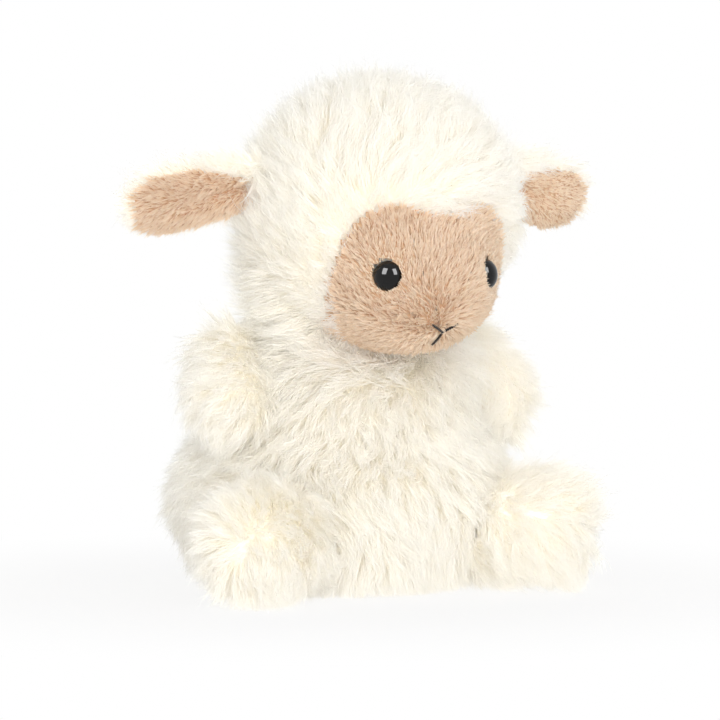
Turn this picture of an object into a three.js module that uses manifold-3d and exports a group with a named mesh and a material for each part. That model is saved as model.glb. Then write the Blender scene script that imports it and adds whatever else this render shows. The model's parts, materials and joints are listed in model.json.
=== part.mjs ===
// A seated plush lamb, about 150 mm tall, taken apart the way it is sewn: pile-fabric panels, stuffing,
// a pouch of pellets in the seat, plastic safety eyes with their lock washers, and a stitched nose.
// Millimetres. +Z is up, the lamb faces -Y, and +X is the lamb's own left. The origin is the middle of the
// flat seat that it sits on. Every outer surface is where the brushed pile ends, so a panel's thickness is
// its backing and its pile together.
import * as THREE from "three";
import { mergeVertices } from "three/addons/utils/BufferGeometryUtils.js";
import Module from "manifold-3d";

const wasm = await Module();
wasm.setup();

const degrees = THREE.MathUtils.degToRad;
const point = (x, y, z) => new THREE.Vector3(x, y, z);

// Driving dimensions
const SEAM_GAP = 0.3; // between two panels, and between a panel and its stuffing
const LONG_PILE = 8; // thickness of the cream fabric, backing and pile
const SHORT_PILE = 3; // thickness of the tan fabric on the face and in the ears
const FACE_SET_BACK = 3.5; // how far the short pile lies behind the long pile round it
const SWING_CLEARANCE = 1; // kept between a limb and what it swings past
const SWEEP_STEP = 12; // degrees between the poses that a swept space is made from

const HEAD = {
  centre: point(0, -24, 107.5),
  lobes: [
    { centre: [0, 0, 2], semi: [42, 40, 40.5] }, // crown and cheeks
    { centre: [0, -19, -18], semi: [25, 26.5, 20.5] }, // muzzle
  ],
};
const BODY = {
  centre: point(0, 0, 38),
  lobes: [
    { centre: [0, 2, -12], semi: [51, 49, 32] }, // seat and belly
    { centre: [0, -5, 10], semi: [38, 35, 36] }, // chest
  ],
  pouchTop: 24,
  seatPanelTop: 5,
};
const LOBE_SHARPNESS = 9; // how crisply two lobes meet: higher is a tighter crease

const NECK = {
  pivot: point(0, -12, 80),
  collarRadius: 18,
  collarWall: 2.5,
  collarBottom: 69,
  collarTop: 84,
  socketRadius: 22.5,
  turn: 30,
  nod: 12,
};
const ARM = {
  shoulder: point(35, 3, 72),
  paw: point(47.5, -23, 47),
  rootRadius: 15,
  pawRadius: 16,
  runIn: 8, // how far the limb's form starts inside the seam that it moves about
  raise: 30,
  lower: 10,
};
const LEG = {
  hip: point(28, -24, 19),
  foot: point(60, -49, 18.5),
  rootRadius: 17,
  footRadius: 21,
  runIn: 10,
  lift: 30,
};
const EAR = {
  root: point(33, 3, 14.5), // from the head's centre
  tip: point(75, 15, 4.5),
  facing: point(0, -0.9, -0.42), // the way the tan lining looks
  width: 11.5,
  rootWidth: 9.2,
  thickness: 5.5,
  flap: 25,
};
const TAIL = {
  root: point(0, 42, 25),
  tip: point(0, 57, 14),
  rootRadius: 7,
  tipRadius: 8,
  wag: 20,
};
const EYE = {
  azimuth: degrees(27), // from straight ahead to the eye
  height: -13, // from the head's centre
  sunk: 2.5, // how far the dome's back lies below the pile round it
  domeRadius: 4.1,
  domeHeight: 3,
  shankRadius: 1.5,
  shankLength: 11,
  washerRadius: 5.5,
  washerThickness: 1,
};

// The tan face's edge from the front, as (x, z) from the head's centre down the lamb's left side. It is widest
// at the cheeks, and dips between two lobes over the eyes.
const FACE_DIP = 2;
const FACE_CHIN = -44;
const FACE_MIDDLE = -16;
const FACE_SIDE = [
  [8, 4],
  [15, 5.8],
  [21.5, 3],
  [26.5, -3.5],
  [28.3, -12],
  [28, -19],
  [24, -28],
  [19, -37],
];
// The bridge panel's edge, from the nose, where it ends in a point, up to the brow
const BRIDGE_TIP = -33;
const BRIDGE_SIDE = [
  [1.5, -31],
  [4.5, -24],
  [8.5, -14],
  [12, 12],
];

const THREAD_RADIUS = 0.45;
const NOSE = { height: -29.3, rise: 2.3, start: degrees(1.2), end: degrees(7) };
const MOUTH = { top: -30.2, bottom: -33.4 };

// How finely a form is divided, round and from end to end
const OUTSIDE = { slices: 32, rings: 18 };
const INSIDE = { slices: 20, rings: 12 };
const LIMB_OUTSIDE = { slices: 18, rings: 10 };
const LIMB_INSIDE = { slices: 14, rings: 8 };
const ROUND = 20; // sides of a turned piece

// Materials
const look = (color, roughness) => new THREE.MeshStandardMaterial({ color, roughness, metalness: 0 });
const longPile = look("#f4efe2", 0.95);
const shortPile = look("#d3ab88", 0.9);
const filling = look("#fbfaf6", 1);
const liner = look("#e9e6de", 0.9);
const eyePlastic = look("#0b0a0a", 0.08);
const washerPlastic = look("#f2f2ef", 0.45);
const thread = look("#2a2320", 0.7);

// From a three.js geometry to a solid that can be cut and joined, and back
function solidOf(geometry) {
  const bare = geometry.clone();
  bare.deleteAttribute("normal");
  bare.deleteAttribute("uv");
  const merged = mergeVertices(bare, 1e-4);
  const vertProperties = merged.attributes.position.array;
  const triVerts = new Uint32Array(merged.index.array);
  return new wasm.Manifold(new wasm.Mesh({ numProp: 3, vertProperties, triVerts }));
}

function geometryOf(solid) {
  const mesh = solid.getMesh();
  const geometry = new THREE.BufferGeometry();
  geometry.setAttribute("position", new THREE.BufferAttribute(mesh.vertProperties, 3));
  geometry.setIndex(new THREE.BufferAttribute(mesh.triVerts, 1));
  geometry.computeVertexNormals();
  return geometry;
}

const placed = (solid, matrix) => solid.transform(matrix.elements);
const above = (solid, height) => solid.trimByPlane([0, 0, 1], height);
const below = (solid, height) => solid.trimByPlane([0, 0, -1], -height);
const leftOf = (solid, x) => solid.trimByPlane([1, 0, 0], x);
const rightOf = (solid, x) => solid.trimByPlane([-1, 0, 0], -x);

// The largest piece of a solid, without the crumbs that a cut can leave
function mainPiece(solid) {
  return solid.decompose().reduce((a, b) => (a.volume() > b.volume() ? a : b));
}

// How far it is from the origin to an ellipsoid's far wall along unit vector u, or 0 where that way misses it
function reach(u, { centre, semi }) {
  let a = 0;
  let b = 0;
  let c = -1;
  [u.x, u.y, u.z].forEach((component, i) => {
    a += (component / semi[i]) ** 2;
    b += (component * centre[i]) / semi[i] ** 2;
    c += (centre[i] / semi[i]) ** 2;
  });
  const hit = b * b - a * c;
  return hit < 0 ? 0 : Math.max(0, (b + Math.sqrt(hit)) / a);
}

// Two stuffed lobes that swell into each other
function lobesReach(u, lobes) {
  const sum = lobes.reduce((total, lobe) => total + reach(u, lobe) ** LOBE_SHARPNESS, 0);
  return sum ** (1 / LOBE_SHARPNESS);
}

// A stuffed form about its own centre, its wall moved in by inset
function stuffedForm(lobes, inset, { slices, rings }) {
  const geometry = new THREE.SphereGeometry(1, slices, rings).rotateX(Math.PI / 2);
  const points = geometry.attributes.position;
  const u = point(0, 0, 0);
  for (let i = 0; i < points.count; i++) {
    u.fromBufferAttribute(points, i).normalize();
    u.multiplyScalar(lobesReach(u, lobes) - inset);
    points.setXYZ(i, u.x, u.y, u.z);
  }
  return solidOf(geometry);
}

// A limb that swells and tapers along +Z from 0 to length, round at both ends. Share is its depth over its width.
function limb({ length, rootRadius, tipRadius, share = 1 }, inset, { slices, rings }) {
  const roundness = 2.6;
  const profile = [];
  for (let i = 0; i <= rings; i++) {
    const t = (1 - Math.cos((Math.PI * i) / rings)) / 2;
    const swell = Math.max(0, 1 - Math.abs(2 * t - 1) ** roundness) ** (1 / roundness);
    const radius = THREE.MathUtils.lerp(rootRadius, tipRadius, t) - inset;
    profile.push(new THREE.Vector2(i % rings ? radius * swell : 0, inset + t * (length - 2 * inset)));
  }
  return solidOf(new THREE.LatheGeometry(profile, slices).rotateX(Math.PI / 2).scale(1, share, 1));
}

// A cylinder along Z with its middle at the height given. The top may be wider than the bottom.
function rod(radius, length, middle, topRadius = radius) {
  const geometry = new THREE.CylinderGeometry(topRadius, radius, length, ROUND);
  return solidOf(geometry.rotateX(Math.PI / 2).translate(0, 0, middle));
}

// The matrix that stands +Z along the way from one point to another, with +Y towards facing
function along(from, to, facing = point(0, -1, 0)) {
  const z = to.clone().sub(from).normalize();
  const x = point(0, 0, 0).crossVectors(facing, z).normalize();
  const y = point(0, 0, 0).crossVectors(z, x);
  return new THREE.Matrix4().makeBasis(x, y, z).setPosition(from);
}

// A turn by an angle in degrees about an axis through a pivot
function turn(pivot, axis, angle) {
  const spin = new THREE.Matrix4().makeRotationAxis(axis, degrees(angle));
  const back = new THREE.Matrix4().makeTranslation(pivot.clone().negate());
  return new THREE.Matrix4().makeTranslation(pivot).multiply(spin).multiply(back);
}

// Everything that a solid passes through as it turns from one angle to another
function swept(solid, pivot, axis, from, to) {
  const steps = Math.ceil((to - from) / SWEEP_STEP);
  let space = placed(solid, turn(pivot, axis, from));
  for (let i = 1; i <= steps; i++) {
    space = space.add(placed(solid, turn(pivot, axis, from + ((to - from) * i) / steps)));
  }
  return space;
}

const X_AXIS = point(1, 0, 0);
const Y_AXIS = point(0, 1, 0);
const Z_AXIS = point(0, 0, 1);
const toSide = (v, side) => point(side * v.x, v.y, v.z);
const sideName = (side) => (side > 0 ? "left" : "right");

// The toy is a set of groups, each standing at the seam that it moves about
const toy = new THREE.Group();
const headFrame = new THREE.Matrix4().setPosition(HEAD.centre);
const bodyFrame = new THREE.Matrix4().setPosition(BODY.centre);
const inToy = (v) => v.clone().applyMatrix4(headFrame);

function groupAt(position) {
  const group = new THREE.Group();
  group.position.copy(position);
  toy.add(group);
  group.updateMatrixWorld(true);
  return group;
}

// Adds a solid, given in the toy's frame, to a group as a named mesh
function addPiece(group, name, solid, material) {
  const geometry = geometryOf(mainPiece(solid)).applyMatrix4(group.matrixWorld.clone().invert());
  const mesh = new THREE.Mesh(geometry, material);
  mesh.name = name;
  group.add(mesh);
}

// The spaces that limbs must stay out of: the body, the head, and everywhere that the head can turn and nod
const bodyRoom = placed(stuffedForm(BODY.lobes, -SWING_CLEARANCE, OUTSIDE), bodyFrame);
const headAtRest = placed(stuffedForm(HEAD.lobes, -SWING_CLEARANCE, OUTSIDE), headFrame);
const nodding = swept(headAtRest, NECK.pivot, X_AXIS, -NECK.nod, NECK.nod);
const headRoom = swept(nodding, NECK.pivot, Z_AXIS, -NECK.turn, NECK.turn);

// Body: belly, two back panels and a flat seat round the stuffing and the pellet pouch
function addBody(group) {
  const half = SEAM_GAP / 2;
  const form = (inset, detail) => placed(stuffedForm(BODY.lobes, inset, detail), bodyFrame);
  const holeRadius = NECK.collarRadius + 2 * SEAM_GAP;
  const neckHole = placed(
    rod(holeRadius, 2 * BODY.centre.z, NECK.collarTop),
    new THREE.Matrix4().setPosition(NECK.pivot.x, NECK.pivot.y, 0),
  );
  const hollow = above(form(LONG_PILE, INSIDE), LONG_PILE);
  const shell = above(form(0, OUTSIDE), 0).subtract(hollow).subtract(neckHole).subtract(headRoom);
  const sides = above(shell, BODY.seatPanelTop + half);
  const back = sides.trimByPlane([0, 1, 0], half);
  addPiece(group, "seat_panel", below(shell, BODY.seatPanelTop - half), longPile);
  addPiece(group, "belly_panel", sides.trimByPlane([0, -1, 0], half), longPile);
  addPiece(group, "back_panel_left", leftOf(back, half), longPile);
  addPiece(group, "back_panel_right", rightOf(back, -half), longPile);

  const core = above(form(LONG_PILE + SEAM_GAP, INSIDE), LONG_PILE + SEAM_GAP);
  const inside = below(core.subtract(headRoom), NECK.collarBottom - SEAM_GAP);
  addPiece(group, "body_stuffing", above(inside, BODY.pouchTop + half), filling);
  addPiece(group, "pellet_pouch", below(inside, BODY.pouchTop - half), liner);
}

// Neck: the short fabric collar that the head is sewn to, round a plug of stuffing
function addNeck(group) {
  const height = NECK.collarTop - NECK.collarBottom;
  const middle = (NECK.collarTop + NECK.collarBottom) / 2;
  const bore = NECK.collarRadius - NECK.collarWall;
  const stand = new THREE.Matrix4().setPosition(NECK.pivot.x, NECK.pivot.y, middle);
  const collar = rod(NECK.collarRadius, height, 0).subtract(rod(bore, height + 1, 0));
  addPiece(group, "neck_collar", placed(collar, stand), longPile);
  addPiece(group, "neck_stuffing", placed(rod(bore - SEAM_GAP, height - 1, 0), stand), filling);
}

// A prism of an outline drawn from the front as (x, z), from in front of the head back to its middle
function frontPrism(outline) {
  const geometry = new THREE.ExtrudeGeometry(new THREE.Shape(outline), { depth: 70, bevelEnabled: false });
  return solidOf(geometry.rotateX(Math.PI / 2));
}

function mirroredLoop(top, side, bottom, grow = 0) {
  const left = side.map(([x, z]) => new THREE.Vector2(x + grow, z));
  const right = left.map((p) => new THREE.Vector2(-p.x, p.y)).reverse();
  return [new THREE.Vector2(0, top), ...left, new THREE.Vector2(0, bottom), ...right];
}

// The face's edge, moved away from the face's middle by grow
function faceOutline(grow) {
  const corners = mirroredLoop(FACE_DIP, FACE_SIDE, FACE_CHIN).map((p) => point(p.x, p.y, 0));
  const loop = new THREE.CatmullRomCurve3(corners, true).getPoints(2 * corners.length).slice(0, -1);
  return loop.map((p) => {
    const out = new THREE.Vector2(p.x, p.y - FACE_MIDDLE);
    out.setLength(out.length() + grow);
    return new THREE.Vector2(out.x, FACE_MIDDLE + out.y);
  });
}

const bridgeOutline = (grow) => mirroredLoop(BRIDGE_TIP - grow, BRIDGE_SIDE, BRIDGE_SIDE.at(-1)[1], grow);

// Where the tan pile's surface is, towards an azimuth from straight ahead and at a height from the head's centre,
// found by stepping a horizontal way out until it meets the form, and the way out of the surface there
function onFace(azimuth, height) {
  const at = (a, z) => {
    const way = point(Math.sin(a), -Math.cos(a), 0);
    let distance = 30;
    for (let step = 0; step < 12; step++) {
      const ray = way.clone().multiplyScalar(distance).setZ(z);
      distance *= (lobesReach(ray.clone().normalize(), HEAD.lobes) - FACE_SET_BACK) / ray.length();
    }
    return way.multiplyScalar(distance).setZ(z);
  };
  const here = at(azimuth, height);
  const across = at(azimuth + 0.05, height).sub(at(azimuth - 0.05, height));
  const up = at(azimuth, height + 1).sub(at(azimuth, height - 1));
  const out = point(0, 0, 0).crossVectors(across, up).normalize();
  return { here, out: out.dot(here) < 0 ? out.negate() : out };
}

// The frame of an eye: its origin at the back of the dome, +Z out of the face
function eyeSeat(side) {
  const { here, out } = onFace(side * EYE.azimuth, EYE.height);
  return along(here.clone().addScaledVector(out, -EYE.sunk), here.clone().add(out), Z_AXIS);
}

// A safety eye: a polished dome, and the shank that goes through the fabric to the washer
function safetyEye() {
  const { domeRadius, domeHeight, shankRadius, shankLength } = EYE;
  const rings = 6;
  const profile = [
    new THREE.Vector2(0, -shankLength),
    new THREE.Vector2(shankRadius, -shankLength),
    new THREE.Vector2(shankRadius, SEAM_GAP),
  ];
  for (let i = 0; i <= rings; i++) {
    const angle = (Math.PI / 2) * (i / rings);
    const radius = i === rings ? 0 : domeRadius * Math.cos(angle);
    profile.push(new THREE.Vector2(radius, SEAM_GAP + domeHeight * Math.sin(angle)));
  }
  return solidOf(new THREE.LatheGeometry(profile, ROUND).rotateX(Math.PI / 2));
}

// A stitch of thread that lies on the face along a route of [azimuth, height] points
function stitch(route) {
  const lift = 1.5 * SEAM_GAP + THREAD_RADIUS;
  const points = route.map(([azimuth, height]) => {
    const { here, out } = onFace(azimuth, height);
    return here.clone().addScaledVector(out, lift);
  });
  const section = new THREE.Shape().absarc(0, 0, THREAD_RADIUS, 0, 2 * Math.PI);
  const extrudePath = new THREE.CatmullRomCurve3(points);
  return solidOf(new THREE.ExtrudeGeometry(section, { steps: 6, curveSegments: 4, extrudePath }));
}

// Head: two cream side panels and a tan face of three panels round the stuffing, with eyes, nose and mouth
function addHead(group) {
  const half = SEAM_GAP / 2;
  const add = (name, solid, material) => addPiece(group, name, placed(solid, headFrame), material);
  const neck = NECK.pivot.clone().sub(HEAD.centre);
  const socket = solidOf(
    new THREE.SphereGeometry(NECK.socketRadius, ROUND, INSIDE.rings).translate(neck.x, neck.y, neck.z),
  );
  const faceDepth = FACE_SET_BACK + SHORT_PILE;

  const furShell = stuffedForm(HEAD.lobes, 0, OUTSIDE)
    .subtract(stuffedForm(HEAD.lobes, LONG_PILE, INSIDE))
    .subtract(frontPrism(faceOutline(half)))
    .subtract(socket);
  add("head_side_left", leftOf(furShell, half), longPile);
  add("head_side_right", rightOf(furShell, -half), longPile);

  let face = stuffedForm(HEAD.lobes, FACE_SET_BACK, OUTSIDE)
    .subtract(stuffedForm(HEAD.lobes, faceDepth, INSIDE))
    .intersect(frontPrism(faceOutline(-half)))
    .subtract(socket);
  const behindFace = stuffedForm(HEAD.lobes, faceDepth + SEAM_GAP, INSIDE).intersect(frontPrism(faceOutline(-half)));
  let stuffing = stuffedForm(HEAD.lobes, LONG_PILE + SEAM_GAP, INSIDE).add(behindFace).subtract(socket);

  [1, -1].forEach((side) => {
    const seat = eyeSeat(side);
    const washerTop = -SHORT_PILE - SEAM_GAP;
    const flange = EYE.washerRadius + SEAM_GAP;
    const dimple = placed(rod(EYE.domeRadius + SEAM_GAP, 6, 3, 2 * EYE.domeRadius), seat);
    const hole = placed(rod(EYE.shankRadius + SEAM_GAP, 2 * EYE.shankLength + 1, 0), seat);
    const behind = placed(rod(flange, 6, washerTop - 3), seat);
    const pocket = placed(rod(flange, 12, washerTop + 4), seat);
    face = face.subtract(dimple).subtract(hole).subtract(behind);
    stuffing = stuffing.subtract(hole).subtract(pocket);
    add("eye_" + sideName(side), placed(safetyEye(), seat), eyePlastic);

    const disc = rod(EYE.washerRadius, EYE.washerThickness, washerTop - EYE.washerThickness / 2 - half);
    const washer = disc.subtract(rod(EYE.shankRadius + half, 2 * EYE.shankLength, 0));
    add("eye_washer_" + sideName(side), placed(washer, seat), washerPlastic);
  });

  const cheeks = face.subtract(frontPrism(bridgeOutline(half)));
  add("face_bridge", face.intersect(frontPrism(bridgeOutline(-half))), shortPile);
  add("cheek_left", leftOf(cheeks, half), shortPile);
  add("cheek_right", rightOf(cheeks, -half), shortPile);
  add("head_stuffing", stuffing, filling);

  [1, -1].forEach((side) => {
    const middle = (NOSE.start + NOSE.end) / 2;
    const route = [
      [side * NOSE.start, NOSE.height],
      [side * middle, NOSE.height + NOSE.rise / 2],
      [side * NOSE.end, NOSE.height + NOSE.rise],
    ];
    add("nose_stitch_" + sideName(side), stitch(route), thread);
  });
  const mouthMiddle = (MOUTH.top + MOUTH.bottom) / 2;
  add("mouth_stitch", stitch([[0, MOUTH.top], [0, mouthMiddle], [0, MOUTH.bottom]]), thread);
}

// Ears: a cream back and a tan lining, sewn round their edge, cut at the root to flap clear of the head
function addEar(group, side) {
  const root = toSide(EAR.root, side);
  const tip = toSide(EAR.tip, side);
  const stand = headFrame.clone().multiply(along(root, tip, EAR.facing));
  const form = {
    length: root.distanceTo(tip),
    rootRadius: EAR.rootWidth,
    tipRadius: EAR.width,
    share: EAR.thickness / EAR.width,
  };
  const pivot = inToy(root);
  const past = swept(headAtRest, pivot, Y_AXIS, -EAR.flap, EAR.flap);
  const ear = placed(limb(form, 0, LIMB_OUTSIDE), stand).subtract(past);
  const front = point(0, 0, 0).setFromMatrixColumn(stand, 1);
  const seam = front.dot(pivot);
  const half = SEAM_GAP / 2;
  const lining = ear.trimByPlane(front.toArray(), seam + half);
  const back = ear.trimByPlane(front.clone().negate().toArray(), half - seam);
  addPiece(group, "ear_lining_" + sideName(side), lining, shortPile);
  addPiece(group, "ear_back_" + sideName(side), back, longPile);
}

// A limb's fabric and its stuffing, both cut clear of what the limb swings past
function addLimb(group, kind, side, { root, tip, rootRadius, tipRadius, runIn }, past) {
  const form = { length: root.distanceTo(tip) + runIn, rootRadius, tipRadius };
  const start = root.clone().sub(tip).setLength(runIn).add(root);
  const stand = along(start, tip);
  const outside = limb(form, 0, LIMB_OUTSIDE);
  const hollow = limb(form, LONG_PILE, LIMB_INSIDE);
  const core = limb(form, LONG_PILE + SEAM_GAP, LIMB_INSIDE);
  const skin = above(placed(outside.subtract(hollow), stand).subtract(past), 0);
  addPiece(group, `${kind}_skin_${sideName(side)}`, skin, longPile);
  addPiece(group, `${kind}_stuffing_${sideName(side)}`, placed(core, stand).subtract(past), filling);
}

// An arm rises forwards as it turns about -X, so what it passes turns the other way
function addArm(group, side) {
  const root = toSide(ARM.shoulder, side);
  const tip = toSide(ARM.paw, side);
  const past = swept(bodyRoom.add(headRoom), root, X_AXIS, -ARM.lower, ARM.raise);
  addLimb(group, "arm", side, { ...ARM, root, tip, tipRadius: ARM.pawRadius }, past);
}

// A leg lifts as it turns about the level axis square to it
function addLeg(group, side) {
  const root = toSide(LEG.hip, side);
  const tip = toSide(LEG.foot, side);
  const forward = tip.clone().sub(root).setZ(0).normalize();
  const axis = point(0, 0, 0).crossVectors(forward, Z_AXIS);
  const past = swept(bodyRoom, root, axis, -LEG.lift, 0);
  addLimb(group, "leg", side, { ...LEG, root, tip, tipRadius: LEG.footRadius }, past);
}

function addTail(group) {
  const { root, tip, rootRadius, tipRadius, wag } = TAIL;
  const past = swept(bodyRoom, root, X_AXIS, -wag, wag);
  const form = limb({ length: root.distanceTo(tip), rootRadius, tipRadius }, 0, LIMB_INSIDE);
  addPiece(group, "tail", placed(form, along(root, tip, X_AXIS)).subtract(past), longPile);
}

addBody(groupAt(point(0, 0, 0)));
addNeck(groupAt(NECK.pivot));
addHead(groupAt(HEAD.centre));
[1, -1].forEach((side) => {
  addEar(groupAt(inToy(toSide(EAR.root, side))), side);
  addArm(groupAt(toSide(ARM.shoulder, side)), side);
  addLeg(groupAt(toSide(LEG.hip, side)), side);
});
addTail(groupAt(TAIL.root));

export default toy;
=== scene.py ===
# %% [markdown]
# A seated plush lamb. The real toy is cut from two knitted fabrics, a cream one with a long wavy pile and
# a tan one with a short pile, sewn inside out, turned and stuffed. Its looks are almost all pile, so this
# lesson is about growing a believable pile as real geometry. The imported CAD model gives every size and
# every joint. Each step below works in millimetres, and only the last helper turns them into Blender's
# metres.

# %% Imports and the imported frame
import json
import math
from dataclasses import dataclass, replace

import bpy
import numpy as np
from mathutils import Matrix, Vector


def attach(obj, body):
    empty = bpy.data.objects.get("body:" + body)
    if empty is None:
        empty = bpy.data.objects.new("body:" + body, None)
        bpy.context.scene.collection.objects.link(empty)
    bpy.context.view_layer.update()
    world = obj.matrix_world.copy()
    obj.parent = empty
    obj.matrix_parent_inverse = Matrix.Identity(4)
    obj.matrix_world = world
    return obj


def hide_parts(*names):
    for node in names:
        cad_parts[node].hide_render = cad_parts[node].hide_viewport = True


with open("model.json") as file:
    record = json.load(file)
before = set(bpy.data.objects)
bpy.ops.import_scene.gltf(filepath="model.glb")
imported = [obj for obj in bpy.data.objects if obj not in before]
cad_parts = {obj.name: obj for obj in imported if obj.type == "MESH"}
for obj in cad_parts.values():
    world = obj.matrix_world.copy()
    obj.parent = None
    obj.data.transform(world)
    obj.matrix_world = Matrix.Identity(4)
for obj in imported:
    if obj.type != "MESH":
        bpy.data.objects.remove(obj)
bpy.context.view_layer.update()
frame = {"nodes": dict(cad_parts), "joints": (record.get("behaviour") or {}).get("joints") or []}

# %% [markdown]
# The photograph was taken with a long lens, a little above the seat and a little to the lamb's right. A
# long lens keeps the ears and the feet at their true sizes. The camera looks at the middle of the toy,
# and a small shift frames it as the photograph does.

# %% The camera at the photograph's viewing angle
MM = 0.001
TOY_MIDDLE = np.array([0.0, 0.0, 75.0])
CAMERA_AZIMUTH = math.radians(-28)
CAMERA_ELEVATION = math.radians(3)
CAMERA_DISTANCE = 1400.0
PIXELS = 720
PIXELS_PER_MM = 3.4
MIDDLE_PIXEL = (343.0, 333.35)


def way_back(azimuth, elevation):
    """The unit vector from the toy towards a camera: (sin a cos e, -cos a cos e, sin e)."""
    flat = math.cos(elevation)
    return np.array([math.sin(azimuth) * flat, -math.cos(azimuth) * flat, math.sin(elevation)])


def make_camera():
    lens = bpy.data.cameras.new("camera")
    lens.sensor_width = 36.0
    lens.lens = lens.sensor_width * PIXELS_PER_MM * CAMERA_DISTANCE / PIXELS
    lens.shift_x = (PIXELS / 2 - MIDDLE_PIXEL[0]) / PIXELS
    lens.shift_y = (MIDDLE_PIXEL[1] - PIXELS / 2) / PIXELS
    lens.clip_end = 20.0
    camera = bpy.data.objects.new("camera", lens)
    back = way_back(CAMERA_AZIMUTH, CAMERA_ELEVATION)
    camera.location = Vector((TOY_MIDDLE + CAMERA_DISTANCE * back) * MM)
    camera.rotation_euler = Vector(back).to_track_quat("Z", "Y").to_euler()
    bpy.context.scene.collection.objects.link(camera)
    bpy.context.scene.camera = camera
    return lens


camera_lens = make_camera()
print("lens", round(camera_lens.lens, 1), "mm")

# %% [markdown]
# Every finish is a small node tree. Colours are written as the sRGB hex values that a designer reads off
# a swatch, and one function turns them to the linear values that Blender mixes. One more function adds a
# node with its settings and its links, so that a material reads as a list of what feeds what.

# %% Helpers for materials
def linear(hex_colour):
    """An sRGB hex colour as linear RGBA, by the sRGB curve."""
    parts = [int(hex_colour[i : i + 2], 16) / 255 for i in (1, 3, 5)]
    return [c / 12.92 if c <= 0.04045 else ((c + 0.055) / 1.055) ** 2.4 for c in parts] + [1.0]


def add_node(material, kind, settings=None, **sockets):
    """A node of a kind. Settings are its attributes. A socket's value is a number, a colour or another
    socket."""
    node = material.node_tree.nodes.new(kind)
    for name, value in (settings or {}).items():
        setattr(node, name, value)
    for name, value in sockets.items():
        socket = node.inputs[int(name[1:])] if name[1:].isdigit() else node.inputs[name.replace("_", " ")]
        if isinstance(value, bpy.types.NodeSocket):
            material.node_tree.links.new(value, socket)
        else:
            socket.default_value = value
    return node


def new_material(name):
    material = bpy.data.materials.new(name)
    material.use_nodes = True
    material.node_tree.nodes.clear()
    return material


def finish_material(material, shader):
    add_node(material, "ShaderNodeOutputMaterial", Surface=shader.outputs[0])
    return material


def ramp(material, factor, stops):
    """A colour ramp through (place, hex colour) stops."""
    node = add_node(material, "ShaderNodeValToRGB", Fac=factor)
    elements = node.color_ramp.elements
    while len(elements) < len(stops):
        elements.new(0.5)
    for element, (place, colour) in zip(elements, stops):
        element.position = place
        element.color = linear(colour)
    return node.outputs["Color"]


# %% [markdown]
# Pile. Acrylic fibre is almost colourless: cream pile looks white where one fibre catches the light, and
# turns warm mostly in the gaps, after the light has bounced from fibre to fibre many times. So the colours
# here are paler than the coat looks, and Cycles is given enough bounces to do the rest. Both ramps are still
# written darker towards the root, as painted shade deep in the pile: a trace of it in the cream, and much in
# the tan. A fibre also lets some light through. Each fibre carries its own UV map: V runs from root to tip,
# and U is a column that stands for the dye lot of that fibre.

# %% Pile materials
PILE_MAP = "OFBake"
DYE_COLUMNS = 64
TINT_SHARE = 0.35


def pile_material(name, see_through, stops, tints):
    """Acrylic pile: a root-to-tip ramp, darker towards the root as painted shade deep in the pile, a third of
    it replaced by a tint of the fibre's column. A fibre lets the share see_through of the light pass."""
    material = new_material(name)
    uv = add_node(material, "ShaderNodeUVMap", {"uv_map": PILE_MAP})
    parts = add_node(material, "ShaderNodeSeparateXYZ", Vector=uv.outputs["UV"])
    times = {"operation": "MULTIPLY"}
    scaled = add_node(material, "ShaderNodeMath", times, _0=parts.outputs["X"], _1=DYE_COLUMNS)
    column = add_node(material, "ShaderNodeMath", {"operation": "FLOOR"}, _0=scaled.outputs[0])
    noise = add_node(material, "ShaderNodeTexWhiteNoise", {"noise_dimensions": "1D"}, W=column.outputs[0])
    tint = ramp(material, noise.outputs["Value"], tints)
    along = ramp(material, parts.outputs["Y"], stops)
    mix = add_node(material, "ShaderNodeMix", {"data_type": "RGBA"}, _0=TINT_SHARE, _6=along, _7=tint)
    colour = mix.outputs[2]
    fibre = add_node(
        material, "ShaderNodeBsdfPrincipled", Base_Color=colour, Roughness=0.55, Specular_IOR_Level=0.1
    )
    through = add_node(material, "ShaderNodeBsdfTranslucent", Color=colour)
    parted = {"_0": see_through, "_1": fibre.outputs[0], "_2": through.outputs[0]}
    return finish_material(material, add_node(material, "ShaderNodeMixShader", **parted))


# The cream's roots are written a trace warmer than its tips: faint painted shade deep in the pile
LONG_PILE = pile_material(
    "long_acrylic_pile",
    see_through=0.5,
    stops=[(0.0, "#FFFEFA"), (0.4, "#FFFEFC"), (1.0, "#FFFFFE")],
    tints=[(0.0, "#FFFEFA"), (0.5, "#FFFEFC"), (1.0, "#FFFFFE")],
)
# The tan's roots are written much darker than its tips: painted shade deep in the pile
SHORT_PILE = pile_material(
    "short_acrylic_pile",
    see_through=0.15,
    stops=[(0.0, "#DDBB93"), (0.4, "#F4E0C5"), (1.0, "#FFF5E4")],
    tints=[(0.0, "#E8CDA9"), (0.5, "#F8E7D0"), (1.0, "#FFF8EC")],
)

# %% [markdown]
# The other finishes: the knitted backing that the pile grows from, the polished eyes, the embroidery
# thread, and what is inside, which shows only when the toy is taken apart.

# %% Other materials
LOOP_BANDS = 320.0  # a diagonal wave of this scale has a band every 1.1 mm
LOOP_RELIEF = 0.3  # mm


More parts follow.
